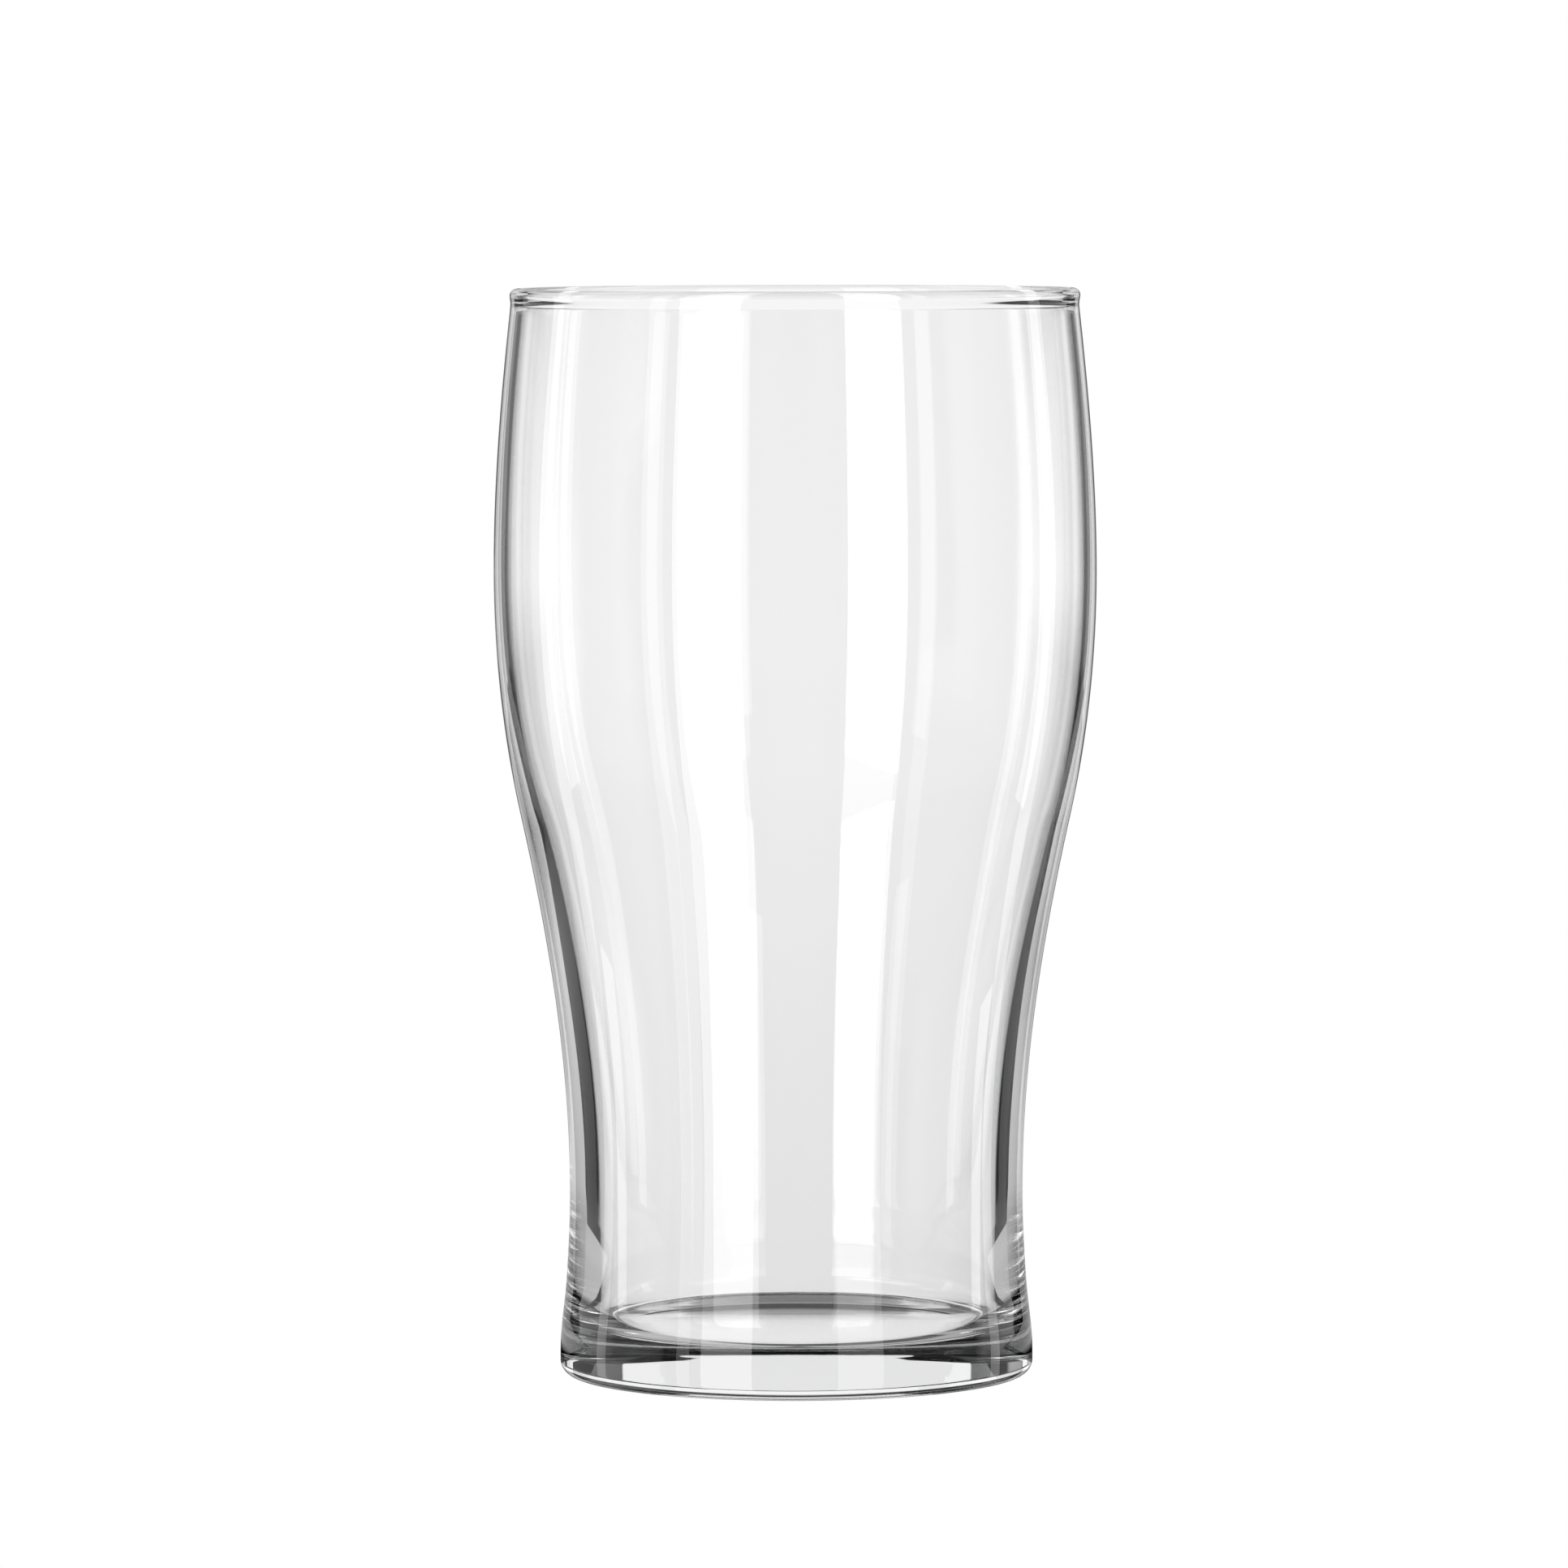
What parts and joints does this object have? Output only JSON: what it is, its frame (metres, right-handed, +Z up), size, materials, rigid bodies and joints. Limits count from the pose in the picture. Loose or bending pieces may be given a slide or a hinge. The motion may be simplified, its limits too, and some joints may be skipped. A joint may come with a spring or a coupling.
{
  "type": "pint glass",
  "caption": "Waisted pint glass with a round shoulder, a rounded lip, a wall that thickens downwards and a heavy foot.",
  "frame": {"origin": "on the glass's axis, in the plane that its foot stands on", "axes": "+Z up along the glass's axis, from the foot to the lip; the shape is round, so X and Y are alike"},
  "size_m": [0.0848, 0.0848, 0.1533],
  "materials": {
    "glass": "clear, fire-polished"
  },
  "bodies": {
    "root": {"glass": "glass"}
  },
  "joints": []
}
